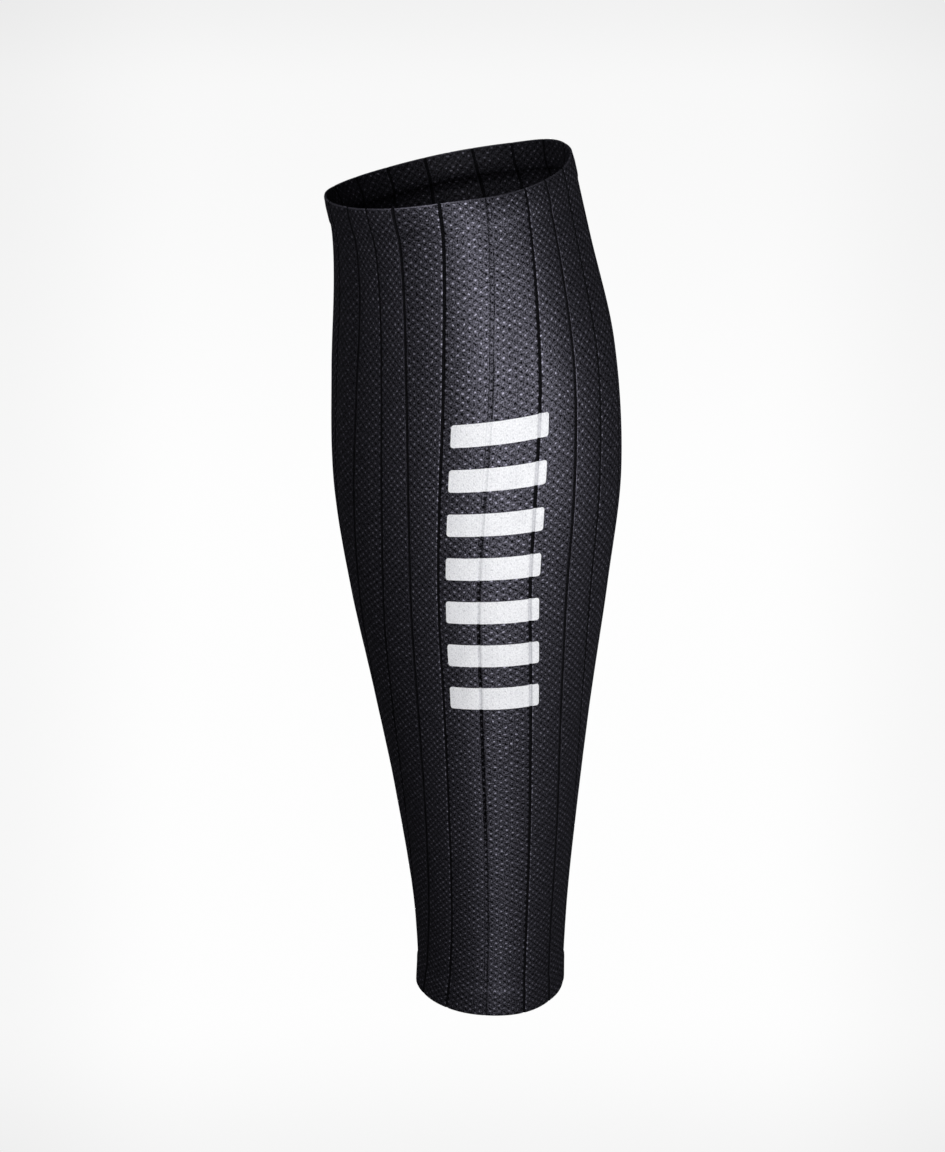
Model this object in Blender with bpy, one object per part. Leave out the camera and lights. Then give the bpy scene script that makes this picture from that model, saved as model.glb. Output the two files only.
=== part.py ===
"""Calf compression sleeve, keeping the form of the leg it is worn on.

A long knitted tube from the ankle to below the knee, with lengthwise grooves,
a turned-in hem at each end and a column of plain printed bars on the shin.
Metres. The shin faces -Y, +Z runs up the leg. The origin is the middle of the
hollow where the calf is widest.
"""
from math import cos, degrees, pi, radians, sin, sqrt

import bmesh
import bpy

# Driving sizes
LENGTH = 0.330  # ankle edge to knee edge, along the shin
CALF_WIDTH = 0.1127  # side to side where the calf is widest
CALF_DEPTH = 0.1195  # shin to back at the same height
WALL = 0.0014  # thickness of the knit
GROOVE_DEPTH = 0.0006
GROOVE_HALF = 0.036  # half a groove's width, as a share of the groove spacing
SEAM_DEPTH = 0.0004  # the plain seam down the back is a shallow line
HEM_TALL = 0.0107  # height of the turned-in hems
HEM_STEP = 0.0004  # how far the doubled hem stands out from the tube
HEM_WALL = 0.0010  # thickness of the turned-in layer
HEM_GAP = 0.0003  # clear of the tube's inside
HEM_BLEND = 0.0013  # height over which the doubled hem runs out into the tube
EDGE_ROUND = 0.0010  # height of the rounding at both edges
HEM_INSET = 0.0014  # the turned-in layers stop this far from the edges
HEM_DENT = 0.8  # share of the grooves' depth that is left on the hems
EDGE_DENT = 0.6  # and at the edges
KNEE_EDGE_SLOPE = 0.169  # how fast the knee edge rises toward +X
ANKLE_EDGE_SLOPE = -0.006
SLOPE_STARTS = 0.45  # share of the height where the rows start to slope
KNEE_EDGE_REACH = 0.2  # share of the length over which the knee edge's lifts fade
ANKLE_EDGE_REACH = 0.1
SEAT_SHARE = 0.66  # height of the origin, as a share of the length

# Printed bars
BAR_COUNT = 7
BAR_TALL = 0.0090
BAR_SPACING = 0.0178  # from one bar to the next
BARS_START = 0.395  # height of the lowest bar's lower edge, share of the length
BAR_LEFT = -0.80  # ends of the bars, counted in grooves from the shin groove
BAR_RIGHT = 1.22
BAR_THICK = 0.0003
BAR_GAP = 0.0003
BAR_CORNER = 0.0012  # height cut off each corner
BAR_CORNER_WIDE = 0.07  # its width, in grooves

# Mesh fineness
RING_SPACING = 0.05  # share of the length between plain rings
HEM_COLUMNS = 52
BAR_COLUMNS = 10
PANEL_COLUMNS = (0.36, 0.64)  # plain columns between a groove and the next
SEAM_MARGIN = 0.05  # a column nearer the seam than this, in grooves, joins it

# Form of the leg at a few heights. Height is a share of LENGTH, half width and
# sideways shift are shares of CALF_WIDTH, the depths are shares of CALF_DEPTH.
SECTIONS = (
    dict(height=0.000, half_width=0.260, shift=0.0625, front=0.321, back=0.298),
    dict(height=0.035, half_width=0.2595, shift=0.0645, front=0.335, back=0.306),
    dict(height=0.120, half_width=0.275, shift=0.063, front=0.366, back=0.324),
    dict(height=0.250, half_width=0.325, shift=0.051, front=0.420, back=0.354),
    dict(height=0.380, half_width=0.386, shift=0.036, front=0.481, back=0.385),
    dict(height=0.510, half_width=0.4525, shift=0.021, front=0.537, back=0.410),
    dict(height=0.640, half_width=0.500, shift=0.017, front=0.576, back=0.424),
    dict(height=0.780, half_width=0.489, shift=0.001, front=0.595, back=0.425),
    dict(height=0.900, half_width=0.442, shift=-0.036, front=0.596, back=0.418),
    dict(height=0.960, half_width=0.425, shift=-0.0595, front=0.595, back=0.414),
    dict(height=1.000, half_width=0.424, shift=-0.085, front=0.591, back=0.408),
)

# The edges aren't flat cuts. Each is lifted a little at these angles from the
# shin, in metres, and the lifts fade out along the tube.
EDGES = (
    dict(angle=-180, knee=-0.0007, ankle=0.0009),
    dict(angle=-150, knee=-0.0014, ankle=0.0008),
    dict(angle=-120, knee=-0.0012, ankle=0.0012),
    dict(angle=-90, knee=-0.0004, ankle=0.0015),
    dict(angle=-60, knee=0.0003, ankle=0.0009),
    dict(angle=-30, knee=0.0007, ankle=-0.0001),
    dict(angle=0, knee=0.0008, ankle=-0.0006),
    dict(angle=30, knee=-0.0012, ankle=-0.0007),
    dict(angle=60, knee=-0.0014, ankle=0.0008),
    dict(angle=90, knee=0.0001, ankle=0.0027),
    dict(angle=120, knee=0.0017, ankle=0.0023),
    dict(angle=150, knee=0.0002, ankle=0.0014),
    dict(angle=180, knee=-0.0007, ankle=0.0009),
)

# Where the grooves run. Each column from m4 to p3 is one groove's place in
# degrees round from the shin, left of it being negative. Left and right say how
# many groove spacings lie between groove p0 and the seam down the back.
GROOVES = (
    dict(height=0.00, m4=-122, m3=-93, m2=-64, m1=-36, p0=-4.5, p1=26.8, p2=52, p3=80,
         left=6.0, right=6.6),
    dict(height=0.20, m4=-92, m3=-67, m2=-44.8, m1=-26.1, p0=-1.8, p1=27.6, p2=50.6,
         p3=74, left=7.7, right=7.4),
    dict(height=0.40, m4=-74, m3=-53, m2=-34.4, m1=-19.6, p0=-0.8, p1=25, p2=43.7,
         p3=62.1, left=9.3, right=8.75),
    dict(height=0.60, m4=-59.7, m3=-41.8, m2=-28.5, m1=-16, p0=0.9, p1=22.2, p2=40.6,
         p3=56.1, left=10.3, right=9.5),
    dict(height=0.80, m4=-53.3, m3=-38.9, m2=-27.1, m1=-11.3, p0=8, p1=28.6, p2=45.4,
         p3=61.2, left=10.6, right=9.2),
    dict(height=0.90, m4=-51.1, m3=-38.7, m2=-26.1, m1=-7.6, p0=13.3, p1=34, p2=49.3,
         p3=64.8, left=10.6, right=9.0),
    dict(height=1.00, m4=-52.5, m3=-40, m2=-25.5, m1=-3.5, p0=18.5, p1=38, p2=50.5,
         p3=66.5, left=10.6, right=8.9),
)
GROOVE_NAMES = ("m4", "m3", "m2", "m1", "p0", "p1", "p2", "p3")
FIRST_GROOVE = -4

for old in list(bpy.data.objects):
    bpy.data.objects.remove(old, do_unlink=True)


def smooth(t):
    """0 below 0, 1 above 1 and a soft ramp between them."""
    t = min(max(t, 0.0), 1.0)
    return t * t * (3 - 2 * t)


def lookup(rows, name, place, along="height"):
    """A table's column at any place along another of its columns, as a smooth
    curve through the rows."""
    place = min(max(place, rows[0][along]), rows[-1][along])
    i = 0
    while i < len(rows) - 2 and place > rows[i + 1][along]:
        i += 1

    def slope(a, b):
        return (rows[b][name] - rows[a][name]) / (rows[b][along] - rows[a][along])

    here, there = rows[i], rows[i + 1]
    step = there[along] - here[along]
    start = slope(max(i - 1, 0), i + 1)
    end = slope(i, min(i + 2, len(rows) - 1))
    t = (place - here[along]) / step
    return (
        here[name] * (2 * t**3 - 3 * t**2 + 1)
        + there[name] * (3 * t**2 - 2 * t**3)
        + start * step * (t**3 - 2 * t**2 + t)
        + end * step * (t**3 - t**2)
    )


SEAT_X = CALF_WIDTH * lookup(SECTIONS, "shift", SEAT_SHARE)
SEAT_Y = CALF_DEPTH * (
    lookup(SECTIONS, "back", SEAT_SHARE) - lookup(SECTIONS, "front", SEAT_SHARE)
) / 2


def edge_lift(height, angle):
    """How far the knee and ankle edges' lifts move a point up."""
    knee = smooth((height - 1 + KNEE_EDGE_REACH) / KNEE_EDGE_REACH)
    ankle = smooth((ANKLE_EDGE_REACH - height) / ANKLE_EDGE_REACH)
    turn = (degrees(angle) + 180) % 360 - 180
    lift = knee * lookup(EDGES, "knee", turn, along="angle")
    return lift + ankle * lookup(EDGES, "ankle", turn, along="angle")


def surface_point(height, angle, out):
    """A point at a height share and an angle round from the shin, `out` metres
    outside the tube's outer face."""
    half = CALF_WIDTH * lookup(SECTIONS, "half_width", height)
    middle = CALF_WIDTH * lookup(SECTIONS, "shift", height)
    side = "front" if cos(angle) > 0 else "back"
    deep = CALF_DEPTH * lookup(SECTIONS, side, height)
    across, along = deep * sin(angle), -half * cos(angle)
    size = sqrt(across**2 + along**2)
    x = half * sin(angle) + out * across / size
    y = -deep * cos(angle) + out * along / size
    upper = smooth((height - SLOPE_STARTS) / (1 - SLOPE_STARTS))
    slope = ANKLE_EDGE_SLOPE + (KNEE_EDGE_SLOPE - ANKLE_EDGE_SLOPE) * upper
    z = height * LENGTH + slope * x + edge_lift(height, angle)
    return (x + middle - SEAT_X, y - SEAT_Y, z - SEAT_SHARE * LENGTH)


def groove_angle(place, height):
    """The angle of a place counted in groove spacings from groove p0."""
    left = -lookup(GROOVES, "left", height)
    right = lookup(GROOVES, "right", height)
    last = FIRST_GROOVE + len(GROOVE_NAMES) - 1
    if place <= FIRST_GROOVE:
        near = lookup(GROOVES, GROOVE_NAMES[0], height)
        share = (FIRST_GROOVE - place) / (FIRST_GROOVE - left)
        return radians(near + (-180 - near) * min(share, 1))
    if place >= last:
        near = lookup(GROOVES, GROOVE_NAMES[-1], height)
        share = (place - last) / (right - last)
        return radians(near + (180 - near) * min(share, 1))
    i = min(int(place - FIRST_GROOVE), len(GROOVE_NAMES) - 2)
    a = lookup(GROOVES, GROOVE_NAMES[i], height)
    b = lookup(GROOVES, GROOVE_NAMES[i + 1], height)
    return radians(a + (b - a) * (place - FIRST_GROOVE - i))


def material(name, colour, roughness):
    made = bpy.data.materials.new(name)
    made.use_nodes = True
    made.diffuse_color = (*colour, 1)
    face = made.node_tree.nodes["Principled BSDF"]
    face.inputs["Base Color"].default_value = (*colour, 1)
    face.inputs["Roughness"].default_value = roughness
    return made


def solid(name, points, faces, colour, roughness):
    """One named object from points and faces, its faces turned outward."""
    mesh = bpy.data.meshes.new(name)
    mesh.from_pydata(points, [], faces)
    work = bmesh.new()
    work.from_mesh(mesh)
    bmesh.ops.triangulate(work, faces=work.faces[:], quad_method="SHORT_EDGE")
    bmesh.ops.recalc_face_normals(work, faces=work.faces[:])
    work.to_mesh(mesh)
    work.free()
    mesh.materials.append(material(name, colour, roughness))
    made = bpy.data.objects.new(name, mesh)
    bpy.context.scene.collection.objects.link(made)
    return made


def join_rings(rings, faces):
    """Faces between rings of vertex numbers; a number that repeats in a face is
    dropped, so columns can run together."""
    for low, high in zip(rings, rings[1:]):
        count = len(low)
        for j in range(count):
            k = (j + 1) % count
            corners = []
            for corner in (low[j], low[k], high[k], high[j]):
                if corner not in corners:
                    corners.append(corner)
            if len(corners) > 2:
                faces.append(corners)


def body_columns():
    """Places of the grooved tube's columns, and which of them are in a groove."""
    first = -int(max(row["left"] for row in GROOVES))
    last = int(max(row["right"] for row in GROOVES))
    columns = []
    for number in range(first, last + 1):
        columns.append((number - GROOVE_HALF, False))
        columns.append((number, True))
        columns.append((number + GROOVE_HALF, False))
        columns += [(number + share, False) for share in PANEL_COLUMNS]
    return columns


def make_body():
    hem = HEM_TALL / LENGTH
    edge = EDGE_ROUND / LENGTH
    tube_low = (HEM_TALL + HEM_BLEND) / LENGTH
    tube_tall = 1 - 2 * tube_low
    count = max(round(tube_tall / RING_SPACING), 4)
    tube = [tube_low + tube_tall * i / count for i in range(count + 1)]
    columns = body_columns()
    points, faces = [], []

    def ring(height, out, dent):
        """One ring of the tube, and the numbers of its vertices by column."""
        left = -lookup(GROOVES, "left", height) + SEAM_MARGIN
        right = lookup(GROOVES, "right", height) - SEAM_MARGIN
        seam = len(points)
        points.append(surface_point(height, pi, out - dent * SEAM_DEPTH))
        numbers = [seam]
        for place, in_groove in columns:
            if left < place < right:
                deep = dent * GROOVE_DEPTH if in_groove else 0.0
                angle = groove_angle(place, height)
                numbers.append(len(points))
                points.append(surface_point(height, angle, out - deep))
            else:
                numbers.append(seam)
        return numbers

    outer = [ring(edge, HEM_STEP, EDGE_DENT), ring(hem, HEM_STEP, HEM_DENT)]
    outer += [ring(height, 0, 1) for height in tube]
    outer += [ring(1 - hem, HEM_STEP, HEM_DENT), ring(1 - edge, HEM_STEP, EDGE_DENT)]
    inner = [ring(edge, -WALL, 0), ring(hem, -WALL, 0)]
    inner += [ring(height, -WALL, 0) for height in tube[1:-1]]
    inner += [ring(1 - hem, -WALL, 0), ring(1 - edge, -WALL, 0)]
    middle = (HEM_STEP - WALL) / 2
    low, high = ring(0, middle, 0), ring(1, middle, 0)
    join_rings([low] + outer + [high], faces)
    join_rings([high] + inner[::-1] + [low], faces)
    return solid("sleeve_body", points, faces, (0.020, 0.020, 0.026), 0.85)


def make_hem(name, low, high):
    """The turned-in layer inside one edge, a plain closed band."""
    outside = -WALL - HEM_GAP
    points, rings = [], []
    heights = (low, (low + high) / 2, high)
    loop = [(height, outside) for height in heights]
    loop += [(height, outside - HEM_WALL) for height in heights[::-1]]
    for height, out in loop:
        rings.append([len(points) + j for j in range(HEM_COLUMNS)])
        for j in range(HEM_COLUMNS):
            points.append(surface_point(height, 2 * pi * j / HEM_COLUMNS, out))
    faces = []
    join_rings(rings + rings[:1], faces)
    return solid(name, points, faces, (0.018, 0.018, 0.023), 0.9)


def make_bar(number):
    """One printed bar: a thin film that follows the tube, its corners cut."""
    start = BARS_START + number * BAR_SPACING / LENGTH
    cut = BAR_CORNER / LENGTH
    outline = [BAR_LEFT, BAR_LEFT + BAR_CORNER_WIDE]
    for i in range(1, BAR_COLUMNS):
        outline.append(BAR_LEFT + (BAR_RIGHT - BAR_LEFT) * i / BAR_COLUMNS)
    outline += [BAR_RIGHT - BAR_CORNER_WIDE, BAR_RIGHT]
    points, faces = [], []
    stations = []
    for i, place in enumerate(outline):
        trim = cut if i in (0, len(outline) - 1) else 0.0
        low, high = start + trim, start + BAR_TALL / LENGTH - trim
        station = []
        loop = ((low, BAR_GAP), (high, BAR_GAP), (high, BAR_GAP + BAR_THICK),
                (low, BAR_GAP + BAR_THICK))
        for height, out in loop:
            station.append(len(points))
            points.append(surface_point(height, groove_angle(place, height), out))
        stations.append(station)
    join_rings(stations, faces)
    faces += [stations[0], stations[-1]]
    return solid(f"print_bar_{number + 1}", points, faces, (0.78, 0.79, 0.80), 0.7)


make_body()
hem_share = HEM_TALL / LENGTH
inset_share = HEM_INSET / LENGTH
make_hem("ankle_hem", inset_share, hem_share)
make_hem("knee_hem", 1 - hem_share, 1 - inset_share)
for bar in range(BAR_COUNT):
    make_bar(bar)
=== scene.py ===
# %% [markdown]
# # A calf compression sleeve
#
# The real sleeve is a long knitted tube that reaches from above the ankle to
# below the knee. It is shown filled, as if on a leg, with nobody in it. Dark
# grooves run down it, the knit between them is covered in tiny raised stitches,
# and both ends are turned in as hems. Pale bars are printed down the shin. This
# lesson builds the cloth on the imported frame, which already holds the true size
# and form.

# %% Load the frame
from math import ceil, cos, degrees, floor, pi, radians, sin, sqrt

import bpy
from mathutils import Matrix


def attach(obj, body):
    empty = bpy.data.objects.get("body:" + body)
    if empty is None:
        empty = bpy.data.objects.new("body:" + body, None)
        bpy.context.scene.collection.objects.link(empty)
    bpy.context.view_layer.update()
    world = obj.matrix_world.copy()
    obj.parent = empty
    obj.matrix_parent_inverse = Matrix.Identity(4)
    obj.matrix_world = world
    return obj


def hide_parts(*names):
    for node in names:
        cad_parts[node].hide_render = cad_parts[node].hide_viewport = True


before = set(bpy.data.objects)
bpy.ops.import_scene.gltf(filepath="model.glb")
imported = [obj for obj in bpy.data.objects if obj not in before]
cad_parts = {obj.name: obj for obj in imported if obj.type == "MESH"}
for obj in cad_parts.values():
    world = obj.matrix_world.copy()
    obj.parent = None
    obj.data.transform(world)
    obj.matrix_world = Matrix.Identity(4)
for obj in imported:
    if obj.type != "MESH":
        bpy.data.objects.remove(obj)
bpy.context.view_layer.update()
print("pieces in the frame:", sorted(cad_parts))

# %% [markdown]
# ## The form of the leg
#
# A worn sleeve takes the leg's form, so the cloth needs the leg's cross sections.
# Each section is two half ellipses, a deeper one at the shin and a flatter one at
# the back, which is how a real calf is. A scan or a sculpt could give the same
# form, but a short table of sections keeps it readable and easy to change. The
# sizes are in metres and match the solid model.

# %% Sizes of the sleeve
LENGTH = 0.330  # ankle edge to knee edge, along the shin
CALF_WIDTH = 0.1127
CALF_DEPTH = 0.1195
WALL = 0.0014
HEM_TALL = 0.0107
HEM_STEP = 0.0004  # the doubled hem stands out this far
KNEE_EDGE_SLOPE = 0.169  # the knee edge rises toward +X
ANKLE_EDGE_SLOPE = -0.006
SLOPE_STARTS = 0.45
KNEE_EDGE_REACH = 0.2  # share of the length over which the knee edge's lifts fade
ANKLE_EDGE_REACH = 0.1
SEAT_SHARE = 0.66  # height of the origin, as a share of the length
CALF_SHARE = 0.64  # height of the widest part of the calf

SECTIONS = (
    dict(height=0.000, half_width=0.260, shift=0.0625, front=0.321, back=0.298),
    dict(height=0.035, half_width=0.2595, shift=0.0645, front=0.335, back=0.306),
    dict(height=0.120, half_width=0.275, shift=0.063, front=0.366, back=0.324),
    dict(height=0.250, half_width=0.325, shift=0.051, front=0.420, back=0.354),
    dict(height=0.380, half_width=0.386, shift=0.036, front=0.481, back=0.385),
    dict(height=0.510, half_width=0.4525, shift=0.021, front=0.537, back=0.410),
    dict(height=0.640, half_width=0.500, shift=0.017, front=0.576, back=0.424),
    dict(height=0.780, half_width=0.489, shift=0.001, front=0.595, back=0.425),
    dict(height=0.900, half_width=0.442, shift=-0.036, front=0.596, back=0.418),
    dict(height=0.960, half_width=0.425, shift=-0.0595, front=0.595, back=0.414),
    dict(height=1.000, half_width=0.424, shift=-0.085, front=0.591, back=0.408),
)
EDGES = (  # how far each edge is lifted at an angle round from the shin
    dict(angle=-180, knee=-0.0007, ankle=0.0009),
    dict(angle=-150, knee=-0.0014, ankle=0.0008),
    dict(angle=-120, knee=-0.0012, ankle=0.0012),
    dict(angle=-90, knee=-0.0004, ankle=0.0015),
    dict(angle=-60, knee=0.0003, ankle=0.0009),
    dict(angle=-30, knee=0.0007, ankle=-0.0001),
    dict(angle=0, knee=0.0008, ankle=-0.0006),
    dict(angle=30, knee=-0.0012, ankle=-0.0007),
    dict(angle=60, knee=-0.0014, ankle=0.0008),
    dict(angle=90, knee=0.0001, ankle=0.0027),
    dict(angle=120, knee=0.0017, ankle=0.0023),
    dict(angle=150, knee=0.0002, ankle=0.0014),
    dict(angle=180, knee=-0.0007, ankle=0.0009),
)
print("sections:", len(SECTIONS))

# %% [markdown]
# ## Reading a table as a smooth curve
#
# The tables name only a few heights. A cubic curve through the rows fills the
# rest, so the cloth has no corners where one row hands over to the next. The
# slope at a row comes from its two neighbours.

# %% Read a table at any height


def lookup(rows, name, place, along="height"):
    """A table's column at any place along another of its columns."""
    place = min(max(place, rows[0][along]), rows[-1][along])
    i = 0
    while i < len(rows) - 2 and place > rows[i + 1][along]:
        i += 1

    def slope(a, b):
        return (rows[b][name] - rows[a][name]) / (rows[b][along] - rows[a][along])

    here, there = rows[i], rows[i + 1]
    step = there[along] - here[along]
    start = slope(max(i - 1, 0), i + 1) * step
    end = slope(i, min(i + 2, len(rows) - 1)) * step
    t = (place - here[along]) / step
    return (
        here[name] * (2 * t**3 - 3 * t**2 + 1)
        + there[name] * (3 * t**2 - 2 * t**3)
        + start * (t**3 - 2 * t**2 + t)
        + end * (t**3 - t**2)
    )


def smooth(t):
    """0 below 0, 1 above 1 and a soft ramp between them."""
    t = min(max(t, 0.0), 1.0)
    return t * t * (3 - 2 * t)


SEAT_X = CALF_WIDTH * lookup(SECTIONS, "shift", SEAT_SHARE)
SEAT_Y = CALF_DEPTH * (
    lookup(SECTIONS, "back", SEAT_SHARE) - lookup(SECTIONS, "front", SEAT_SHARE)
) / 2
print("middle of the calf, from the table's own middle:", round(SEAT_X, 4), round(SEAT_Y, 4))

# %% [markdown]
# ## A level of the leg
#
# Thousands of points lie on the same level, so what they share is worked out
# once for each level. A point is then an angle round from the shin and a
# distance outside the cloth's outer face.

# %% Place points on a level


class Level:
    """The leg's cross section at one height share."""

    def __init__(self, height):
        self.height = height
        self.half = CALF_WIDTH * lookup(SECTIONS, "half_width", height)
        self.middle = CALF_WIDTH * lookup(SECTIONS, "shift", height)
        self.front = CALF_DEPTH * lookup(SECTIONS, "front", height)
        self.back = CALF_DEPTH * lookup(SECTIONS, "back", height)
        rise = KNEE_EDGE_SLOPE - ANKLE_EDGE_SLOPE
        upper = smooth((height - SLOPE_STARTS) / (1 - SLOPE_STARTS))
        self.slope = ANKLE_EDGE_SLOPE + rise * upper
        self.knee = smooth((height - 1 + KNEE_EDGE_REACH) / KNEE_EDGE_REACH)
        self.ankle = smooth((ANKLE_EDGE_REACH - height) / ANKLE_EDGE_REACH)

    def lift(self, angle):
        turn = (degrees(angle) + 180) % 360 - 180
        knee = self.knee and self.knee * lookup(EDGES, "knee", turn, along="angle")
        return knee + (self.ankle and self.ankle * lookup(EDGES, "ankle", turn, along="angle"))

    def point(self, angle, out):
        deep = self.front if cos(angle) > 0 else self.back
        across, along = deep * sin(angle), -self.half * cos(angle)
        size = sqrt(across**2 + along**2)
        x = self.half * sin(angle) + out * across / size
        y = -deep * cos(angle) + out * along / size
        z = self.height * LENGTH + self.slope * x + self.lift(angle)
        return (x + self.middle - SEAT_X, y - SEAT_Y, z - SEAT_SHARE * LENGTH)


calf = Level(CALF_SHARE)
print("calf width in mm:", round(2000 * calf.half, 1))

# %% [markdown]
# ## Where the grooves run
#
# On the real sleeve a groove is a line where the knit skips a few stitches. The
# leg stretches the cloth unevenly, so the grooves are not evenly spread. The
# eight that show are listed at seven heights, in degrees round from the
# shin. The others are shared out evenly from there to the seam down the back,
# and left and right say how many spacings away that seam is. The ankle is
# narrower than the calf, so some grooves end at the seam on their way down.

# %% Groove places
GROOVES = (
    dict(height=0.00, m4=-122, m3=-93, m2=-64, m1=-36, p0=-4.5, p1=26.8, p2=52, p3=80,
         left=6.0, right=6.6),
    dict(height=0.20, m4=-92, m3=-67, m2=-44.8, m1=-26.1, p0=-1.8, p1=27.6, p2=50.6,
         p3=74, left=7.7, right=7.4),
    dict(height=0.40, m4=-74, m3=-53, m2=-34.4, m1=-19.6, p0=-0.8, p1=25, p2=43.7,
         p3=62.1, left=9.3, right=8.75),
    dict(height=0.60, m4=-59.7, m3=-41.8, m2=-28.5, m1=-16, p0=0.9, p1=22.2, p2=40.6,
         p3=56.1, left=10.3, right=8.95),
    dict(height=0.80, m4=-53.3, m3=-38.9, m2=-27.1, m1=-11.3, p0=8, p1=28.6, p2=45.4,
         p3=61.2, left=10.6, right=8.8),
    dict(height=0.90, m4=-51.1, m3=-38.7, m2=-26.1, m1=-7.6, p0=13.3, p1=34, p2=49.3,
         p3=64.8, left=10.6, right=8.68),
    dict(height=1.00, m4=-52.5, m3=-40, m2=-25.5, m1=-3.5, p0=18.5, p1=38, p2=50.5,
         p3=66.5, left=10.6, right=8.56),
)
GROOVE_NAMES = ("m4", "m3", "m2", "m1", "p0", "p1", "p2", "p3")
FIRST_GROOVE = -4
LAST_GROOVE = FIRST_GROOVE + len(GROOVE_NAMES) - 1


class GrooveRow:
    """Where the grooves cross one level."""

    def __init__(self, height):
        self.shown = [lookup(GROOVES, name, height) for name in GROOVE_NAMES]
        self.left = -lookup(GROOVES, "left", height)
        self.right = lookup(GROOVES, "right", height)

    def angle(self, place):
        """The angle of a place counted in groove spacings from groove p0."""
        if place <= FIRST_GROOVE:
            share = (FIRST_GROOVE - place) / (FIRST_GROOVE - self.left)
            return radians(self.shown[0] + (-180 - self.shown[0]) * min(share, 1))
        if place >= LAST_GROOVE:
            share = (place - LAST_GROOVE) / (self.right - LAST_GROOVE)
            return radians(self.shown[-1] + (180 - self.shown[-1]) * min(share, 1))
        i = min(int(place - FIRST_GROOVE), len(self.shown) - 2)
        start, end = self.shown[i], self.shown[i + 1]
        return radians(start + (end - start) * (place - FIRST_GROOVE - i))


calf_grooves = GrooveRow(CALF_SHARE)
print("grooves round the calf:", round(calf_grooves.right - calf_grooves.left, 1))

# %% [markdown]
# ## The camera
#
# The photograph looks at the shin from a little above, through a long lens, so
# the two openings are thin ellipses. A camera two metres away with a 158 mm lens
# gives the same small amount of perspective. The frame is upright, so the sensor
# width counts for its height.

# %% Set up the camera
CAMERA_DISTANCE = 2.0
CAMERA_PITCH = radians(14.5)
CAMERA_LENS = 158.3
AIM_HEIGHT = 0.1685  # above the ankle edge

aim = (-SEAT_X, -SEAT_Y, AIM_HEIGHT - SEAT_SHARE * LENGTH)
camera_data = bpy.data.cameras.new("photo_camera")
camera_data.sensor_width = 36
camera_data.lens = CAMERA_LENS
camera = bpy.data.objects.new("photo_camera", camera_data)
camera.location = (
    aim[0],
    aim[1] - CAMERA_DISTANCE * cos(CAMERA_PITCH),
    aim[2] + CAMERA_DISTANCE * sin(CAMERA_PITCH),
)
camera.rotation_euler = (pi / 2 - CAMERA_PITCH, 0, 0)
bpy.context.scene.collection.objects.link(camera)
bpy.context.scene.camera = camera
print("camera at", [round(c, 3) for c in camera.location])

# %% [markdown]
# ## The relief of the knit
#
# Between two grooves the cloth is almost flat, and at a groove it dips sharply.
# The profile below says how deep the outer face lies at a few distances from a
# groove, and the same distances give the columns of the mesh. That way each
# groove has edges of its own to bend along, and no edge is spent on the flat
# parts. The bottom of a groove gets a dark material of its own: painted shade,
# for the shade that falls in it. The groove right on the shin is different: the
# calf and the ankle pull it almost flat, so it is deep only between them.

# %% Groove profile and mesh columns
GROOVE_PROFILE = (  # distance in groove spacings, relief in metres
    dict(away=0.000, relief=-0.00062),
    dict(away=0.017, relief=-0.00054),
    dict(away=0.030, relief=-0.00024),
    dict(away=0.043, relief=0.00000),
    dict(away=0.075, relief=0.00004),
)
SHIN_DEPTH = 0.35  # share of the relief left where the shin's own groove is pulled flat
SHIN_STARTS = (0.13, 0.30)  # height shares between which it deepens
SHIN_OPENS = (0.42, 0.72)  # height shares between which it flattens again
SHIN_DARK = 0.6  # how dark the painted shade in its groove is where it is deepest
SHIN_HALF = 0.10  # half width of what belongs to that groove
SHIN_CHANNEL = 0.030  # half width of the painted shade in the grooves beside the shin
SIDE_CHANNEL = 0.043  # half width of it in the others, where the leg turns away and more of a groove's shaded wall shows
INNER_CHANNEL = 0.017  # half width of it on the wrong side of the cloth
PANEL_PLACES = (0.20, 0.35, 0.50, 0.65, 0.80)
PANEL_PUFF = 0.00018  # the panels bulge this much between grooves


def groove_columns():
    """Places of the mesh columns in groove spacings, with their relief."""
    columns = []
    first = floor(min(-row["left"] for row in GROOVES))
    last = ceil(max(row["right"] for row in GROOVES))
    for number in range(first, last + 1):
        for step in reversed(GROOVE_PROFILE[1:]):
            columns.append((number - step["away"], step["relief"]))
        for step in GROOVE_PROFILE:
            columns.append((number + step["away"], step["relief"]))
        for share in PANEL_PLACES:
            columns.append((number + share, PANEL_PUFF * sin(pi * share)))
    return columns


def flattened(place, relief, height):
    """The relief at a place, less where the shin's own groove is pulled flat."""
    if abs(place) > SHIN_HALF:
        return relief
    (start, deep), (low, high) = SHIN_STARTS, SHIN_OPENS
    full = smooth((height - start) / (deep - start)) * smooth((high - height) / (high - low))
    return relief * (SHIN_DEPTH + (1 - SHIN_DEPTH) * full)


COLUMNS = groove_columns()
print("mesh columns round the sleeve:", len(COLUMNS))

# %% [markdown]
# ## The knit's own grid
#
# The stitches are part of the cloth, so their pattern has to follow it: it runs
# along the grooves, and it widens where the calf stretches it. A texture map
# named knit gives every point its place in the cloth, counted in stitches: 8.5
# columns of stitches from one groove to the next, and rows whose height follows
# the stretch.

# %% Count the rows of stitches
STITCHES_PER_GROOVE = 8.5
ROW_HEIGHTS = (  # height of one row of stitches in metres
    dict(height=0.00, row=0.00250),
    dict(height=0.12, row=0.00253),
    dict(height=0.41, row=0.00284),
    dict(height=0.63, row=0.00314),
    dict(height=0.80, row=0.00330),
    dict(height=0.88, row=0.00318),
    dict(height=1.00, row=0.00288),
)
ROW_STEPS = 400


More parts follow.
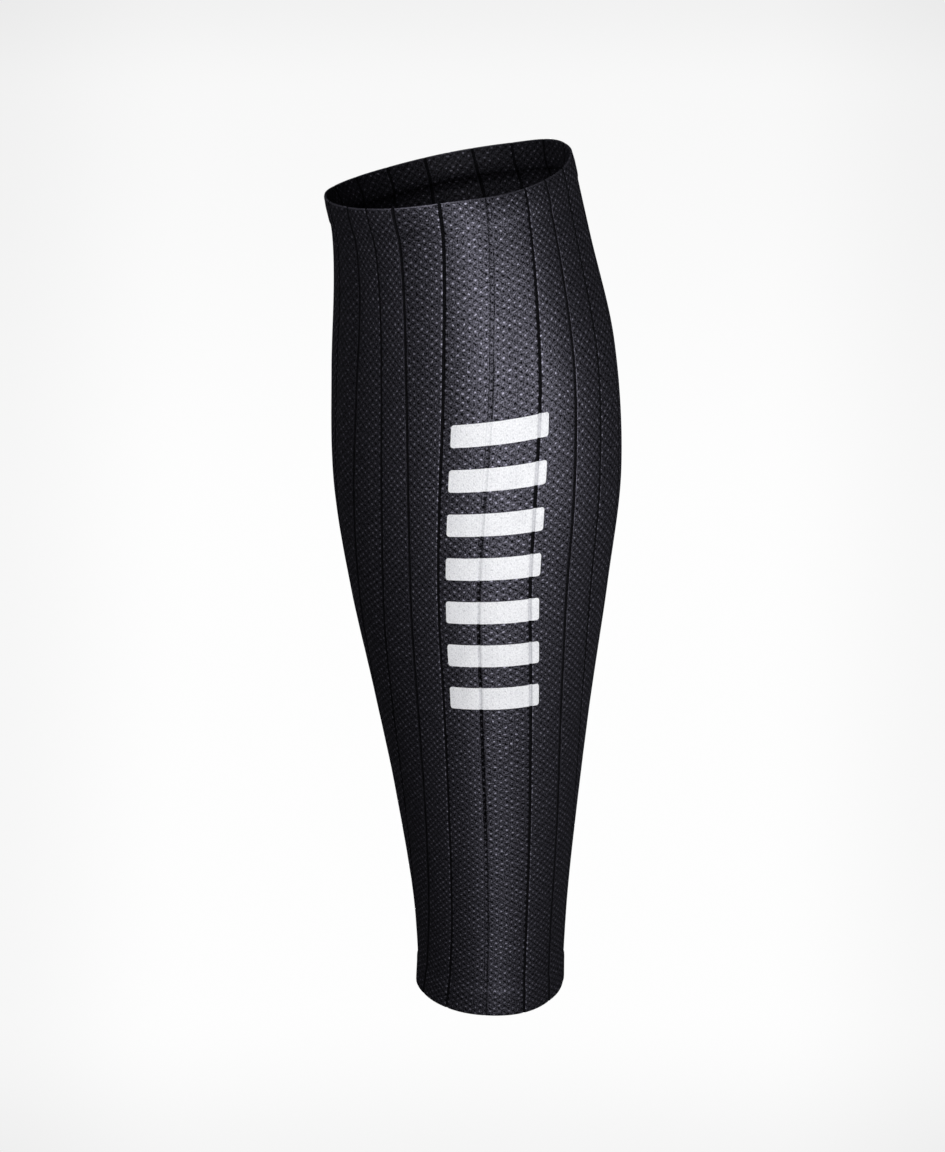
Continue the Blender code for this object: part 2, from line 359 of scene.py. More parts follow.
def count_rows():
    """Rows of stitches below each of many heights."""
    counts = [0.0]
    for i in range(ROW_STEPS):
        row = lookup(ROW_HEIGHTS, "row", (i + 0.5) / ROW_STEPS)
        counts.append(counts[-1] + LENGTH / ROW_STEPS / row)
    return counts


ROW_COUNTS = count_rows()


def stitch_row(height):
    place = min(max(height, 0), 1) * ROW_STEPS
    i = min(int(place), ROW_STEPS - 1)
    return ROW_COUNTS[i] + (ROW_COUNTS[i + 1] - ROW_COUNTS[i]) * (place - i)


print("rows of stitches:", round(ROW_COUNTS[-1]))

# %% [markdown]
# ## The sleeve's cloth
#
# The cloth is one closed skin. It is drawn as a path from the ankle fold up the
# outside, over the knee fold, down the turned-in hem, down the inside of the
# tube and round the ankle hem again. Each step of the path is a ring of points.
# The seam down the back is a narrow dent with a slight lip on both sides.
# Towards the ankle, columns meet that seam and end at it, which is what the cut
# cloth does. A solidify modifier could give the thickness, but it couldn't turn
# the hems.

# %% Rings of the sleeve
FOLD_STEPS = 6
FOLD_OUT = {"knee": 0.0001, "ankle": 0.0004}  # the fold is pressed thin at the knee
FOLD_IN = -0.0008
ANKLE_DROP = 0.0008  # the ankle fold hangs this far below the solid's edge
HEM_INSIDE = 0.0006  # the turned-in layer stands this far off the wall
HEM_RUN_OUT = 0.0036  # the doubled hem runs out into the tube over this height
HEM_LINE_DENT = 0.00016  # depth of the line where the hem is sewn
HEM_LINE_HALF = 0.0009
HEM_PRESSED = 0.45  # share of the hem's height that thins toward the fold
FOLD_RELIEF = 0.7  # share of the relief that is left where the fold starts
SEAM_HALF = 0.0009  # half width of the seam line down the back
SEAM_DENT = 0.00055
SEAM_LIP = 0.00012  # the cloth's edges stand up a little along the seam
SEAM_CLEAR = 1.5  # columns nearer to the seam than this many half widths join it
OUTER_ROW = 0.0020  # height of the mesh rows outside
INNER_ROW = 0.0042
HEM_ROW = 0.0010  # rows on the outside of a hem
STEP_ROW = 0.0007  # rows where the hem's step runs out
STEP_SHARE = 0.004  # height share of those rows
LAYER_ROW = 0.0020  # rows of the turned-in layer
LAYER_EDGE = 0.0010  # height share over which that layer ends
TUBE_START = 0.0014  # height share from the hem to the first ring of the tube inside
INNER_RELIEF = 0.45  # the grooves also show inside, more weakly


def hem_swell(height):
    """How far the doubled hem stands out, with a faint line where it is sewn."""
    to_edge = min(height, 1 - height) * LENGTH
    swell = HEM_STEP * smooth((HEM_TALL + HEM_RUN_OUT / 2 - to_edge) / HEM_RUN_OUT)
    fold_out = FOLD_OUT["ankle" if height < 0.5 else "knee"]
    pressed = (HEM_STEP - fold_out) * smooth(1 - to_edge / (HEM_TALL * HEM_PRESSED))
    line = abs(to_edge - HEM_TALL) / HEM_LINE_HALF
    return swell - pressed - HEM_LINE_DENT * smooth(1 - line)


def even_steps(start, end, size):
    count = max(round(abs(end - start) * LENGTH / size), 1)
    return [start + (end - start) * i / count for i in range(count + 1)]


def fold(end):
    """The middle and radius of the small half circle that turns a hem's edge."""
    return (FOLD_OUT[end] + FOLD_IN) / 2, (FOLD_OUT[end] - FOLD_IN) / 2


def folded(end, edge, turn):
    """A ring on a hem's fold, a turn of 0 outside and a turn of pi inside."""
    middle, radius = fold(end)
    bulge = radius / LENGTH * sin(turn)
    rise = edge + bulge if end == "knee" else edge - bulge
    face = "outside" if turn < pi / 2 else "inside"
    return rise, middle + radius * cos(turn), FOLD_RELIEF * cos(turn / 2), face


def layer_out(share):
    """How far out the turned-in layer lies, between the fold and its other end."""
    inside = -WALL - HEM_INSIDE
    return FOLD_IN + (inside - FOLD_IN) * smooth(share * 1.5)


def sleeve_path():
    """The rings as height, distance out, share of the relief, and the face."""
    hem = HEM_TALL / LENGTH
    top, bottom = 1 - fold("knee")[1] / LENGTH, (fold("ankle")[1] - ANKLE_DROP) / LENGTH
    layer_end = -WALL - HEM_INSIDE / 2
    heights = even_steps(bottom, hem, HEM_ROW)[:-1]
    heights += even_steps(hem, hem + STEP_SHARE, STEP_ROW)[:-1]
    heights += even_steps(hem + STEP_SHARE, 1 - hem - STEP_SHARE, OUTER_ROW)
    heights += even_steps(1 - hem - STEP_SHARE, 1 - hem, STEP_ROW)[1:]
    heights += even_steps(1 - hem, top, HEM_ROW)[1:]
    path = [(height, hem_swell(height), 1.0, "outside") for height in heights]
    for i in range(1, FOLD_STEPS):
        path.append(folded("knee", top, pi * i / FOLD_STEPS))
    for height in even_steps(top, 1 - hem, LAYER_ROW):
        path.append((height, layer_out((top - height) / (hem + top - 1)), 0.0, "inside"))
    path.append((1 - hem - LAYER_EDGE, layer_end, 0.0, "inside"))
    for height in even_steps(1 - hem - TUBE_START, hem + TUBE_START, INNER_ROW):
        path.append((height, -WALL, -INNER_RELIEF, "inside"))
    path.append((hem + LAYER_EDGE, layer_end, 0.0, "inside"))
    for height in even_steps(hem, bottom, LAYER_ROW):
        path.append((height, layer_out((height - bottom) / (hem - bottom)), 0.0, "inside"))
    for i in range(1, FOLD_STEPS):
        path.append(folded("ankle", bottom, pi * (1 - i / FOLD_STEPS)))
    return path


SLEEVE_PATH = sleeve_path()
print("rings along the path:", len(SLEEVE_PATH))

# %% Make the rings into a mesh
OUTSIDE, INSIDE, CHANNEL_FACE = 0, 1, 2  # the sleeve's three materials, the third painted shade for groove bottoms and the seam


def in_channel(place, face):
    """Whether a place lies at the bottom of a groove, other than the shin's own, which gets
    painted shade.
    """
    number = round(place)
    reach = SHIN_CHANNEL if abs(number) < 2 else SIDE_CHANNEL
    if face == INSIDE:
        reach = INNER_CHANNEL
    return number != 0 and abs(place - number) < reach


class Cloth:
    """Points, faces and both texture maps of a piece, gathered ring by ring."""

    def __init__(self):
        self.points, self.faces, self.knit, self.spread, self.slots = [], [], [], [], []

    def corner(self, point, place, row, angle, spread):
        """Adds a point and returns its corner: point, column, row and angle share."""
        self.points.append(point)
        return (len(self.points) - 1, place, row, angle / (2 * pi) + 0.5, spread)

    def ring(self, height, out, relief, spread):
        """Adds one ring, from the seam down the back round to the seam again."""
        level, grooves = Level(height), GrooveRow(height)
        row = stitch_row(height)
        half = SEAM_HALF / level.half
        seam = self.corner(
            level.point(pi, out - relief * SEAM_DENT), grooves.left, row, -pi, spread
        )
        sides = []
        for angle, place in ((half - pi, grooves.left), (pi - half, grooves.right)):
            lip = level.point(angle, out + relief * SEAM_LIP)
            sides.append(self.corner(lip, place, row, angle, spread))
        corners = [seam, sides[0]]
        for place, rise in COLUMNS:
            angle = grooves.angle(place)
            if abs(angle) > pi - half * SEAM_CLEAR:
                corners.append(sides[0] if angle < 0 else sides[1])
            else:
                point = level.point(angle, out + relief * flattened(place, rise, height))
                corners.append(self.corner(point, place, row, angle, spread))
        corners += [sides[1], (seam[0], grooves.right, row, 1.0, spread)]
        return corners

    def join(self, low, high, slot):
        """Faces between two rings. Columns that have met the seam drop out of them."""
        for j in range(len(low) - 1):
            face = []
            for corner in (low[j], low[j + 1], high[j + 1], high[j]):
                if corner[0] not in [other[0] for other in face]:
                    face.append(corner)
            if len(face) > 2:
                self.faces.append([corner[0] for corner in face])
                middle = (low[j][1] + low[j + 1][1]) / 2
                # The seam's dent gets the painted shade too.
                seam = slot == OUTSIDE and j in (0, len(low) - 2)
                self.slots.append(CHANNEL_FACE if seam or in_channel(middle, slot) else slot)
                for corner in face:
                    self.knit.append((corner[1] * STITCHES_PER_GROOVE, corner[2]))
                    self.spread.append((corner[3], corner[4]))

    def piece(self, name, materials):
        mesh = bpy.data.meshes.new(name)
        mesh.from_pydata(self.points, [], self.faces)
        for map_name, places in (("knit", self.knit), ("OFBake", self.spread)):
            layer = mesh.uv_layers.new(name=map_name)
            layer.uv.foreach_set("vector", [c for place in places for c in place])
        for material in materials:
            mesh.materials.append(material)
        mesh.polygons.foreach_set("material_index", self.slots)
        mesh.shade_smooth()
        made = bpy.data.objects.new(name, mesh)
        bpy.context.scene.collection.objects.link(made)
        return made


# %% [markdown]
# ## Shader maths as Python
#
# A knit pattern is mostly arithmetic, and arithmetic reads badly as a row of
# boxes and wires. The two small classes below let a material be written as
# ordinary expressions: each operator adds the Math node that it stands for.

# %% Shader helpers


class Wire:
    """One output of a node, with Python's operators."""

    def __init__(self, net, socket):
        self.net, self.socket = net, socket

    def __add__(self, other):
        return self.net.maths("ADD", self, other)

    def __sub__(self, other):
        return self.net.maths("SUBTRACT", self, other)

    def __rsub__(self, other):
        return self.net.maths("SUBTRACT", other, self)

    def __mul__(self, other):
        return self.net.maths("MULTIPLY", self, other)

    def __truediv__(self, other):
        return self.net.maths("DIVIDE", self, other)

    def __rtruediv__(self, other):
        return self.net.maths("DIVIDE", other, self)

    def __abs__(self):
        return self.net.maths("ABSOLUTE", self)

    __radd__, __rmul__ = __add__, __mul__


class Net:
    """The nodes of one material."""

    def __init__(self, name):
        self.material = bpy.data.materials.new(name)
        self.material.use_nodes = True
        self.tree = self.material.node_tree
        self.tree.nodes.clear()

    def node(self, kind, settings, sockets, output=0):
        """Adds a node: its settings first, then the values or links it takes."""
        made = self.tree.nodes.new(kind)
        for key, value in settings.items():
            setattr(made, key, value)
        for key, value in sockets.items():
            if isinstance(value, Wire):
                self.tree.links.new(value.socket, made.inputs[key])
            else:
                made.inputs[key].default_value = value
        return Wire(self, made.outputs[output] if made.outputs else None)

    def maths(self, operation, *values):
        return self.node("ShaderNodeMath", dict(operation=operation), dict(enumerate(values)))

    def split(self, vector):
        """The first two numbers of a vector."""
        apart = self.node("ShaderNodeSeparateXYZ", {}, {0: vector})
        return apart, Wire(self, apart.socket.node.outputs[1])

    def ramp(self, value, start, end):
        """A soft ramp from 0 at start to 1 at end."""
        sockets = {"Value": value, "From Min": start, "From Max": end}
        return self.node("ShaderNodeMapRange", dict(interpolation_type="SMOOTHSTEP"), sockets)

    def blend(self, share, low, high):
        """A colour between two colours."""
        sockets = {0: share, 6: low, 7: high}
        return self.node("ShaderNodeMix", dict(data_type="RGBA"), sockets, output=2)

    def noise(self, place, scale, detail=2.0):
        sockets = {"Vector": place, "Scale": scale, "Detail": detail}
        return self.node("ShaderNodeTexNoise", {}, sockets)

    def bump(self, height, strength, distance):
        sockets = {"Strength": strength, "Distance": distance, "Height": height}
        return self.node("ShaderNodeBump", {}, sockets)

    def finish(self, sockets):
        """The Principled shader and the material's output."""
        face = self.node("ShaderNodeBsdfPrincipled", {}, sockets)
        self.node("ShaderNodeOutputMaterial", {}, {"Surface": face})
        return self.material


# %% [markdown]
# ## The knit
#
# Seen close up, the cloth is a staggered grid of small bright stitches on a
# dark grey ground, with fine slanting yarns and dark holes between them. Every
# second column is half a row higher. The pattern is worked out from the map
# named knit: the nearest stitch, the distance to it in millimetres, and from
# that its brightness and its bump. A random number for each stitch makes some of
# them brighter than others and shifts them a little. The bottom of a groove has
# no stitches and is painted dark as painted shade, and a thin painted highlight
# shows here and there along one side of it. A painted highlight also runs along
# the knee's rim, and the inside of the tube is the same knit darkened by painted
# shade.
#
# The yarn is satin, so its shine has the yarn's own grey. The metallic socket
# gives that. A plain diffuse colour would need a white highlight, which turns a
# dark cloth milky.

# %% The pattern of stitches


class Stitches:
    """Masks of the knit pattern and of painted shade and highlights, nearly all between 0 and 1.
    """

    COLUMN = 2.25  # width of a column of stitches in millimetres
    ROW = 3.05  # height of a row
    LEAN = (0.56, 0.83)  # the slanting strands' direction, turned by a right angle
    STRIP_EDGE = 0.046  # groove spacings from the shin's groove to the edge of its strip
    THREAD_HIGHLIGHT = 0.056  # groove spacings from a groove to the painted highlight along one side of it
    SOFT = 0.012  # groove spacings over which a channel's edge fades

    def __init__(self, net):
        self.net = net
        self.place = net.node("ShaderNodeUVMap", dict(uv_map="knit"), {})
        across, self.up = net.split(self.place)
        self.grain = net.ramp(net.noise(self.place, 4.4, 3.0), 0.40, 0.60)
        shaken = across + (net.noise(self.place, 1.1, 2.0) - 0.5) * 0.6
        column = net.maths("FLOOR", shaken + 0.5)
        side = (shaken - column) * self.COLUMN
        half = net.maths("FLOORED_MODULO", column, 2.0) * 0.5
        raised = self.up + half + (net.noise(self.place, 0.9, 2.0) - 0.5) * 0.5
        row = net.maths("FLOOR", raised + 0.5)
        rise = (raised - row) * self.ROW
        code = net.node("ShaderNodeCombineXYZ", {}, {0: column, 1: row})
        chance = net.node("ShaderNodeTexWhiteNoise", {}, {"Vector": code}, output=1)
        self.luck, shift = net.split(chance)
        off_side, off_rise = side + (shift - 0.5) * 0.5, rise + (self.luck - 0.5) * 0.4
        self.dot = 1 - net.ramp(self.distance(off_side, off_rise, 0.80, 1.2), 0.08, 0.52)
        under = self.ROW / 2 - abs(rise)
        self.hole = 1 - net.ramp(self.distance(side, under, 1.0, 1.1), 0.08, 0.62)
        lean_side, lean_rise = side * self.LEAN[0], rise * self.LEAN[1]
        self.falling = 1 - net.ramp(abs(lean_side + lean_rise), 0.05, 0.50)
        self.rising = 1 - net.ramp(abs(lean_side - lean_rise), 0.05, 0.50)
        slant = net.maths("FLOORED_MODULO", (raised + shaken * 0.5) * 2, 1.0)
        self.slant = 1 - net.ramp(abs(slant - 0.5), 0.06, 0.40)
        groove = across / STITCHES_PER_GROOVE
        number = net.maths("ROUND", groove)
        beside = groove - number
        start, deep, low, high = [stitch_row(height) for height in SHIN_STARTS + SHIN_OPENS]
        shin = 1 - net.ramp(abs(number), 0.2, 0.8)
        full = net.ramp(self.up, start, deep) * (1 - net.ramp(self.up, low, high))
        on_shin = shin * (1 - full)
        # Painted shade in the grooves: dark at each groove's bottom, and at the shin's groove
        # only where it is deep.
        groove_edge = net.ramp(abs(beside), SHIN_CHANNEL, SHIN_CHANNEL + self.SOFT)
        self.channel = (1 - groove_edge) * (1 - on_shin) * (1 - shin * (1 - SHIN_DARK))
        self.strip = (1 - net.ramp(abs(beside), 0.030, 0.060)) * on_shin
        # Painted shade: two thin dark lines along the edges of the shin's flattened groove.
        from_edge = abs(abs(beside) - self.STRIP_EDGE)
        self.strip_edge_shade = (1 - net.ramp(from_edge, 0.004, 0.020)) * on_shin
        # A painted highlight: a thin bright line along one side of a groove, where its edge
        # catches the light.
        self.thread_highlight = 1 - net.ramp(abs(beside - self.THREAD_HIGHLIGHT), 0.004, 0.014)
        # A painted highlight along the knee's rim, where the fold's top catches the light from
        # above.
        self.rim = net.ramp(self.up, ROW_COUNTS[-1] - 0.20, ROW_COUNTS[-1] - 0.08)

    def distance(self, side, rise, side_scale, rise_scale):
        """The distance from a point, with each direction scaled."""
        a, b = side * side_scale, rise * rise_scale
        return self.net.maths("SQRT", a * a + b * b)


# %% Material of the knit
MESH_AND_SHADE_DARK = (0.0014, 0.0014, 0.0021, 1)  # the open mesh and what shows through it, and also the painted shade in the grooves and inside the tube
YARN = (0.330, 0.322, 0.405, 1)
YARN_SATIN = 0.85  # how far a highlight takes the colour of the yarn itself
YARN_ROUGHNESS = 0.52
YARN_BUMP = 0.00035
WRONG_SIDE_SATIN = 0.5
# Painted shade: the inside of the tube is the same knit, made darker where little light reaches.
INSIDE_PAINTED_SHADE = 0.29
GROOVE_PAINTED_SHADE = (0.0012, 0.0012, 0.0018, 1)  # painted shade at the bottom of a groove and in the seam's dent
GROOVE_PAINTED_SHADE_FUZZ = (0.005, 0.005, 0.0068, 1)


def knit_material(name, shade, satin):
    """The knit at its full brightness outside; inside, matter and darkened by painted shade."""
    net = Net(name)
    knit = Stitches(net)

    def clip(value):
        return net.maths("MINIMUM", value, 1.0)

    cloudy = net.noise(knit.place, 0.05, 3.0)
    along = net.ramp(net.noise(knit.place, 0.35, 2.0), 0.45, 0.62)
    strands = clip(knit.falling * 0.8 + knit.rising * 0.5)
    open_mesh = knit.hole * (0.60 + knit.luck * 0.40) + (1 - knit.grain) * 0.60
    open_mesh = open_mesh + (1 - knit.slant) * (0.05 + (1 - knit.luck) * 0.20)
    # Holes and grain darken the cover, and painted shade darkens it in the grooves and at the
    # shin strip's edges.
    dark = 1 - clip(open_mesh + knit.strip_edge_shade * 0.5 + knit.channel)
    speck = knit.dot * (0.20 + knit.luck * knit.luck * 0.95) * (0.6 + cloudy * 0.8)
    # No specks show in the painted shade of a groove.
    speck = speck * (1 - knit.channel) * (1 - knit.strip * 0.8)
    cover = (0.23 + strands * 0.32 + knit.grain * 0.43 + knit.slant * 0.14) * dark
    # Its last term paints the highlight along one side of a groove.
    shine = cover * 0.40 + speck * 1.45 + knit.thread_highlight * along * 0.16
    # The rim term paints that highlight, and a shade below 1 paints the inside darker.
    shine = clip((shine + knit.rim * 0.22) * shade)
    height = knit.dot * 0.8 + strands * 0.3 - knit.hole * 0.6
    bump = net.bump(height, 0.3, YARN_BUMP)
    return net.finish(
        {
            "Base Color": net.blend(shine, MESH_AND_SHADE_DARK, YARN),
            "Metallic": satin,
            "Roughness": YARN_ROUGHNESS,
            "Specular IOR Level": 0.1,
            "Normal": bump,
        }
    )


def groove_shade_material():
    """Painted shade for the bottom of a groove and the seam's dent, with a little grain."""
    net = Net("knit_groove_shade")
    knit = Stitches(net)
    return net.finish(
        {
            "Base Color": net.blend(knit.grain, GROOVE_PAINTED_SHADE, GROOVE_PAINTED_SHADE_FUZZ),
            "Roughness": 0.9,
            "Specular IOR Level": 0.08,
            "Normal": net.bump(knit.grain, 0.4, 0.0003),
        }
    )


knit_outside = knit_material("knit_outside", 1.0, YARN_SATIN)
knit_inside_shaded = knit_material("knit_inside_shaded", INSIDE_PAINTED_SHADE, WRONG_SIDE_SATIN)
knit_groove_shade = groove_shade_material()
print("materials:", knit_outside.name, knit_inside_shaded.name, knit_groove_shade.name)

# %% Make the sleeve
LAST_RING = 0.995  # where the last ring lies in the map OFBake, before the cloth closes


def make_sleeve():
    cloth = Cloth()
    lengths = [0.0]
    for (height, out, _, _), (height_2, out_2, _, _) in zip(SLEEVE_PATH, SLEEVE_PATH[1:]):
        lengths.append(lengths[-1] + abs(height_2 - height) * LENGTH + abs(out_2 - out))
    rings = []
    for (height, out, relief, _), along in zip(SLEEVE_PATH, lengths):
        rings.append(cloth.ring(height, out, relief, along / lengths[-1] * LAST_RING))
    for i in range(len(rings) - 1):
        both_inside = SLEEVE_PATH[i + 1][3] == "inside" and SLEEVE_PATH[i][3] == "inside"
        cloth.join(rings[i], rings[i + 1], INSIDE if both_inside else OUTSIDE)
    closing = [(c[0], c[1], c[2], c[3], 1.0) for c in rings[0]]
    cloth.join(rings[-1], closing, OUTSIDE)
    return cloth.piece("sleeve_knit", [knit_outside, knit_inside_shaded, knit_groove_shade])


sleeve = make_sleeve()
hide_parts("sleeve_body", "knee_hem", "ankle_hem")
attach(sleeve, "root")
print("faces in the sleeve:", len(sleeve.data.polygons))

# %% [markdown]
# ## The printed bars
#
# The print is a thin, slightly rubbery film that is pressed into the knit. It
# follows the grooves under it and lets a little of the weave show. A bar is a
# patch of the cloth's own grid, lifted by less than a tenth of a millimetre,
# with its corners rounded. Cutting it from the cloth's grid keeps it in the
# grooves.

# %% Sizes of the bars
BAR_COUNT = 7
BAR_TALL = 0.0090
BAR_SPACING = 0.0178
BARS_START = 0.395  # height share of the lowest bar's bottom edge
BAR_LEFT = -0.80  # in groove spacings from the shin's groove
BAR_RIGHT = 1.22
BAR_CORNER = 0.0011
BAR_CORNER_WIDE = 0.06
BAR_CORNER_STEPS = (0, 0.1, 0.3, 0.6, 1)  # shares of the corner's width
BAR_COLUMN_GAP = 0.02  # least distance from a corner's columns to the cloth's own
FILM = 0.00007  # how far the film stands off the cloth
FILM_UNDER = -0.00005  # its underside is sunk into the cloth

PRINT_WHITE = (0.84, 0.845, 0.87, 1)
# The print's colour where it is worn, and where shade is painted on it over the grooves.
PRINT_WEAR_AND_SHADE = (0.42, 0.425, 0.46, 1)


def print_material():
    net = Net("print_film")
    knit = Stitches(net)
    patchy = net.ramp(net.noise(knit.place, 0.35, 4.0), 0.35, 0.75)
    gaps = knit.hole * 0.30 + (1 - knit.grain) * 0.30
    # Wear, plus painted shade: the film is darker over the grooves and at the shin strip's edges.
    wear_and_shade = gaps + patchy * 0.15 + knit.channel * 0.5 + knit.strip_edge_shade * 0.25
    colour = net.blend(net.maths("MINIMUM", wear_and_shade, 1.0), PRINT_WHITE, PRINT_WEAR_AND_SHADE)
    height = knit.dot * 0.6 - knit.hole * 0.4 + knit.grain * 0.3
    bump = net.bump(height, 0.35, 0.0003)
    return net.finish({"Base Color": colour, "Roughness": 0.62, "Normal": bump})


film = print_material()

# %% Make the bars
BAR_ROWS = 8
SHARP_EDGE = radians(40)  # the film's edges stay crisp, and its face is smooth


def bar_places():
    """The cloth's own columns between the bar's ends, with finer corners."""
    left = [BAR_LEFT + BAR_CORNER_WIDE * share for share in BAR_CORNER_STEPS]
    right = [BAR_RIGHT - BAR_CORNER_WIDE * share for share in reversed(BAR_CORNER_STEPS)]
    places = [(place, PANEL_PUFF * sin(pi * (place % 1))) for place in left]
    for place, rise in COLUMNS:
        if left[-1] + BAR_COLUMN_GAP < place < right[0] - BAR_COLUMN_GAP:
            places.append((place, rise))
    return places + [(place, PANEL_PUFF * sin(pi * (place % 1))) for place in right]


def corner_trim(place):
    """How far a bar's edge draws in at a place, for its rounded corners."""
    inward = min(place - BAR_LEFT, BAR_RIGHT - place) / BAR_CORNER_WIDE
    if inward >= 1:
        return 0.0
    return BAR_CORNER * (1 - sqrt(1 - (1 - inward) ** 2))


def make_bar(number):
    bottom = BARS_START + number * BAR_SPACING / LENGTH
    tall = BAR_TALL / LENGTH
    points, faces, knit = [], [], []
    places = bar_places()
    for layer in (FILM, FILM_UNDER):
        for i in range(BAR_ROWS + 1):
            for place, rise in places:
                trim = corner_trim(place) / LENGTH
                height = bottom + trim + (tall - 2 * trim) * i / BAR_ROWS
                level, grooves = Level(height), GrooveRow(height)
                out = flattened(place, rise, height) + layer
                points.append(level.point(grooves.angle(place), out))
                knit.append((place * STITCHES_PER_GROOVE, stitch_row(height)))
    wide = len(places)
    under = wide * (BAR_ROWS + 1)
    for i in range(BAR_ROWS):
        for j in range(wide - 1):
            a = i * wide + j
            faces.append((a, a + 1, a + 1 + wide, a + wide))
            faces.append((under + a, under + a + wide, under + a + 1 + wide, under + a + 1))
    rim = list(range(wide)) + [wide * i + wide - 1 for i in range(1, BAR_ROWS + 1)]
    rim += [wide * BAR_ROWS + j for j in range(wide - 2, -1, -1)]
    rim += [wide * i for i in range(BAR_ROWS - 1, 0, -1)]
    for a, b in zip(rim, rim[1:] + rim[:1]):
        faces.append((a, under + a, under + b, b))
    name = f"print_bar_{number + 1}_film"
    mesh = bpy.data.meshes.new(name)
    mesh.from_pydata(points, [], faces)
    layer = mesh.uv_layers.new(name="knit")
    loops = [knit[loop.vertex_index] for loop in mesh.loops]
    layer.uv.foreach_set("vector", [c for place in loops for c in place])
    mesh.materials.append(film)
    mesh.shade_smooth()
    mesh.set_sharp_from_angle(angle=SHARP_EDGE)
    bar = bpy.data.objects.new(name, mesh)
    bpy.context.scene.collection.objects.link(bar)
    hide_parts(f"print_bar_{number + 1}")
    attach(bar, "root")
    return bar


bars = [make_bar(number) for number in range(BAR_COUNT)]
print("bars:", len(bars))

# %% [markdown]
# ## The cloth's own size
#
# A compression sleeve is knitted narrower than the leg and stretches onto it.
# Off the leg it is about four fifths as wide as it is shown here.

# %% [markdown]
# ## Floor and light
#
# The photograph has an almost white ground that darkens a little toward the
# corners, and the dark cloth throws no shadow on it. A pale floor far below that
# glows by itself gives that ground. It is hidden from bounced light, so it puts
# no pale edge on the dark cloth. The surroundings are pale for the camera alone,
# so that a low view sees no dark horizon.
#
# A narrow light close to the shin and a tall one further back give the bright
# band down the front. Others lift the knee end, the two sides and the inside,
# and one behind shows the back.

# %% Floor
FLOOR_DROP = 1.2  # below the origin
CAMERA_UP = camera.location[2] + FLOOR_DROP
CAMERA_BACK = -camera.location[1]
FLOOR_REACH = 60
PALE_FAR = 0.88  # brightness of the floor far away
STEEPNESS_FAR = 0.142  # steepness of the camera's view of the floor at the frame's top
FLOOR_BANDS = (  # how much brighter the floor gets between two steepnesses
    dict(start=0.136, end=0.160, brighter=0.058),
    dict(start=0.145, end=0.250, brighter=0.050),
    dict(start=0.350, end=0.395, brighter=-0.090),
)
FADE_STARTS = 0.055  # how far to the side it starts to fade, per metre from the camera
FADE_ENDS = 0.098
CORNER_FADE = 0.065  # how much darker the floor is at the frame's sides


def make_floor():
    """A floor that glows a little less far away, near the camera and at the sides."""
    net = Net("pale_floor")
    place = net.node("ShaderNodeTexCoord", {}, {}, output=3)
    x, y = net.split(place)
    steep = CAMERA_UP / (CAMERA_BACK + net.maths("SQRT", x * x + y * y))
    bright = PALE_FAR
    for band in FLOOR_BANDS:
        bright = net.ramp(steep, band["start"], band["end"]) * band["brighter"] + bright
    sideways = abs(x) / (abs(y) * cos(CAMERA_PITCH) + CAMERA_BACK + CAMERA_UP * sin(CAMERA_PITCH))
    in_frame = net.ramp(steep, 0.02, STEEPNESS_FAR)
    fade = 1 - net.ramp(sideways, FADE_STARTS, FADE_ENDS) * in_frame * CORNER_FADE
    white = (1, 1, 1, 1)
    glow = net.node("ShaderNodeEmission", {}, {"Color": white, "Strength": bright * fade})
    net.node("ShaderNodeOutputMaterial", {}, {"Surface": glow})
    mesh = bpy.data.meshes.new("floor")
    reach = FLOOR_REACH
    corners = [(-reach, -reach, 0), (reach, -reach, 0), (reach, reach, 0), (-reach, reach, 0)]
    mesh.from_pydata(corners, [], [(0, 1, 2, 3)])
    mesh.materials.append(net.material)
    made = bpy.data.objects.new("floor", mesh)
    made.location = (0, 0, -FLOOR_DROP)
    bpy.context.scene.collection.objects.link(made)
    made.visible_diffuse = False
    made.visible_glossy = False
    return made


make_floor()

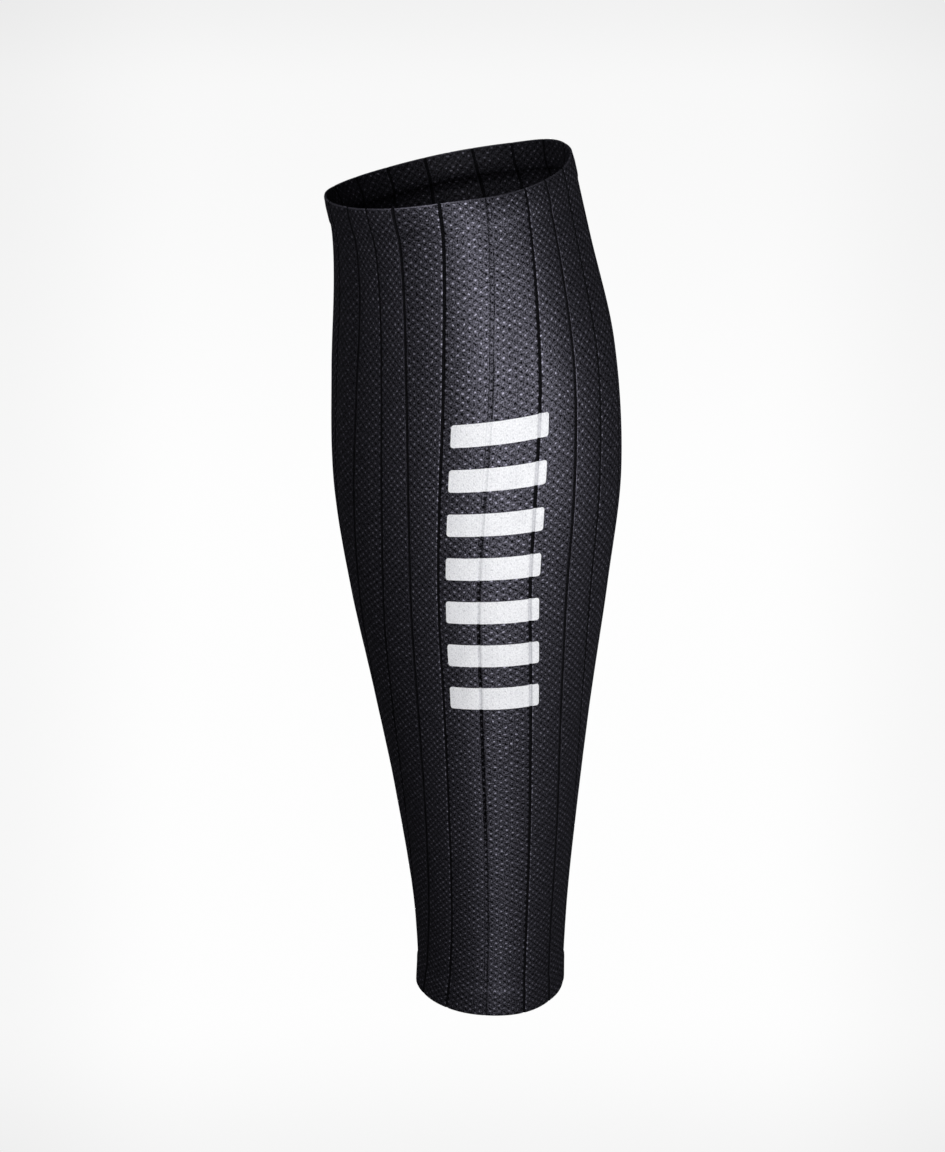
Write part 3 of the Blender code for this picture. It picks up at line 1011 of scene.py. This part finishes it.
# %% Lights
LIGHTS = (  # angles in degrees, distances and sizes in metres, power in watts
    dict(name="key", turn=23, rise=-8, away=0.6, aim=0.012, wide=0.15, tall=0.3, power=1.58),
    dict(name="tall_front", turn=5, rise=-8, away=1.3, aim=-0.02, wide=0.25, tall=1.6, power=3.0),
    dict(name="high_front", turn=-8, rise=20, away=1.5, aim=0.01, wide=0.4, tall=0.5, power=3.3),
    dict(name="right", turn=60, rise=0, away=0.35, aim=0, wide=0.12, tall=0.12, power=0.40),
    dict(name="left", turn=-45, rise=35, away=0.9, aim=0.07, wide=0.5, tall=0.6, power=3.4),
    dict(name="above", turn=0, rise=62, away=1.2, aim=0.1, wide=0.3, tall=0.3, power=2.0),
    dict(name="behind", turn=180, rise=-16, away=1.5, aim=0, wide=0.25, tall=1.0, power=24),
)


def make_light(name, turn, rise, away, aim, wide, tall, power):
    """A soft rectangular light, turned round from the camera toward +X."""
    data = bpy.data.lights.new(name, "AREA")
    data.shape = "RECTANGLE"
    data.size, data.size_y, data.energy = wide, tall, power
    light = bpy.data.objects.new(name, data)
    turn, rise = radians(turn), radians(rise)
    level = away * cos(rise)
    light.location = (level * sin(turn), -level * cos(turn), aim + away * sin(rise))
    light.rotation_euler = (pi / 2 - rise, 0, turn)
    bpy.context.scene.collection.objects.link(light)


for row in LIGHTS:
    make_light(**row)

DIM = 0.01  # what the surroundings add to the light on the cloth


def make_surroundings():
    """Pale for the camera and nearly black for the light on the cloth."""
    world = bpy.data.worlds.new("studio")
    world.use_nodes = True
    tree = world.node_tree
    dim, pale = tree.nodes["Background"], tree.nodes.new("ShaderNodeBackground")
    dim.inputs["Color"].default_value = (DIM, DIM, DIM, 1)
    pale.inputs["Color"].default_value = (PALE_FAR, PALE_FAR, PALE_FAR, 1)
    ray, either = tree.nodes.new("ShaderNodeLightPath"), tree.nodes.new("ShaderNodeMixShader")
    tree.links.new(ray.outputs["Is Camera Ray"], either.inputs[0])
    tree.links.new(dim.outputs[0], either.inputs[1])
    tree.links.new(pale.outputs[0], either.inputs[2])
    tree.links.new(either.outputs[0], tree.nodes["World Output"].inputs["Surface"])
    return world


bpy.context.scene.world = make_surroundings()
bpy.context.scene.view_settings.view_transform = "Standard"
print("lights:", len(LIGHTS))
